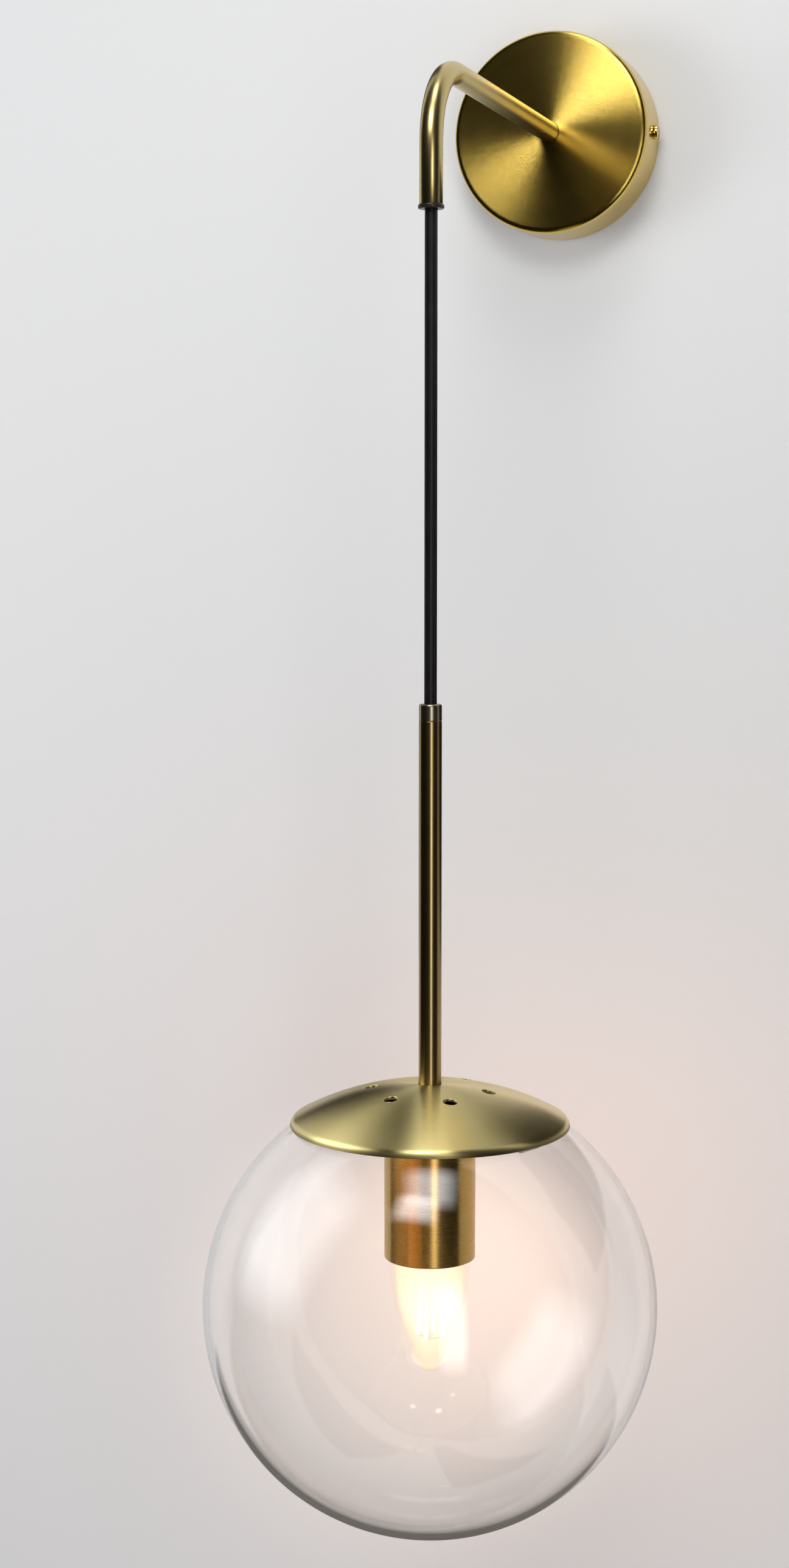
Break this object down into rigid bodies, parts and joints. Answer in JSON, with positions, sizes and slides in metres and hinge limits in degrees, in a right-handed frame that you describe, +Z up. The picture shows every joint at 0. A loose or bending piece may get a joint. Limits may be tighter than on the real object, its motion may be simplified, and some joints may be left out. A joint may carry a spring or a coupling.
{
  "type": "globe wall lamp",
  "caption": "Wall lamp with a round brass canopy, a bent brass arm, a black cord, a brass rod and a clear glass globe round one bulb.",
  "frame": {"origin": "centre of the wall screw pattern, on the wall plane behind the canopy", "axes": "+X along the wall, +Y into the wall, +Z up"},
  "size_m": [0.2, 0.31, 0.6853],
  "materials": {
    "black_cord": "smooth matt sheath",
    "black_plastic": "moulded",
    "blue_wire": "smooth",
    "brown_wire": "smooth",
    "bulb_glass": "clear",
    "cap_aluminium": "rolled",
    "clear_glass": "clear, mouth-blown",
    "clear_silicone": "soft, milky",
    "cup_brass": "satin brass",
    "dark_bush": "matt",
    "dark_screw": "blackened",
    "glowing_filament": "phosphor coated",
    "green_wire": "smooth",
    "grey_silicone": "soft",
    "pale_brass": "pale brushed brass",
    "polished_brass": "polished brass",
    "porcelain": "glazed",
    "satin_brass": "satin antique brass",
    "spring_steel": "spring steel",
    "spun_brass": "spun brushed brass in turned rings",
    "white_plastic": "moulded",
    "zinc_steel": "zinc plated"
  },
  "bodies": {
    "wall_unit": {"wall_bracket": "zinc_steel", "canopy": "spun_brass", "canopy_screws": "polished_brass", "arm_tube": "satin_brass", "arm_backing_plate": "zinc_steel", "arm_washer": "zinc_steel", "arm_nut": "polished_brass", "arm_end_bush": "dark_bush", "cord_anchor": "white_plastic", "cord_anchor_screw": "zinc_steel", "cord_in_arm": "black_cord", "terminal_block": "white_plastic", "terminal_sleeves": "polished_brass", "terminal_screws": "zinc_steel", "terminal_fixing_screw": "zinc_steel", "live_lead": "brown_wire", "neutral_lead": "blue_wire", "earth_lead": "green_wire", "earth_link": "green_wire", "earth_ring": "zinc_steel", "earth_screw": "zinc_steel"},
    "cord": {"cord": "black_cord"},
    "pendant": {"cord_grip": "satin_brass", "cord_grip_screw": "dark_screw", "rod_tube": "satin_brass", "cord_in_rod": "black_cord", "dome_cap": "pale_brass", "dome_nut": "polished_brass", "seat_ring": "grey_silicone", "glass_clip": "spring_steel", "clip_sleeves": "clear_silicone", "clip_nut": "polished_brass", "socket_cup": "cup_brass", "holder_cap": "black_plastic", "holder_sleeve": "black_plastic", "holder_insert": "porcelain", "holder_shell": "zinc_steel", "holder_contact": "polished_brass", "holder_terminals": "polished_brass", "holder_terminal_screws": "zinc_steel", "holder_leads": "brown_wire"},
    "globe": {"glass_globe": "clear_glass"},
    "bulb": {"bulb_cap": "cap_aluminium", "bulb_insulator": "black_plastic", "bulb_contact": "cap_aluminium", "bulb_glass": "bulb_glass", "bulb_stem": "bulb_glass", "bulb_filaments": "glowing_filament", "bulb_supports": "zinc_steel"}
  },
  "joints": [
    {"name": "cord_swing", "type": "hinge", "parent": "wall_unit", "child": "cord", "pos_m": [0, -0.21, -0.062], "axis": [0, 1, 0], "range_deg": [-20, 20]},
    {"name": "pendant_swing", "type": "hinge", "parent": "cord", "child": "pendant", "pos_m": [0, -0.21, -0.2715], "axis": [1, 0, 0], "range_deg": [-20, 20]},
    {"name": "globe_drop", "type": "slide", "parent": "pendant", "child": "globe", "axis": [0, 0, -1], "range_m": [0, 0.13], "deforming": ["glass_clip", "clip_sleeves"]},
    {"name": "bulb_out", "type": "slide", "parent": "pendant", "child": "bulb", "axis": [0, 0, -1], "range_m": [0, 0.045]}
  ]
}
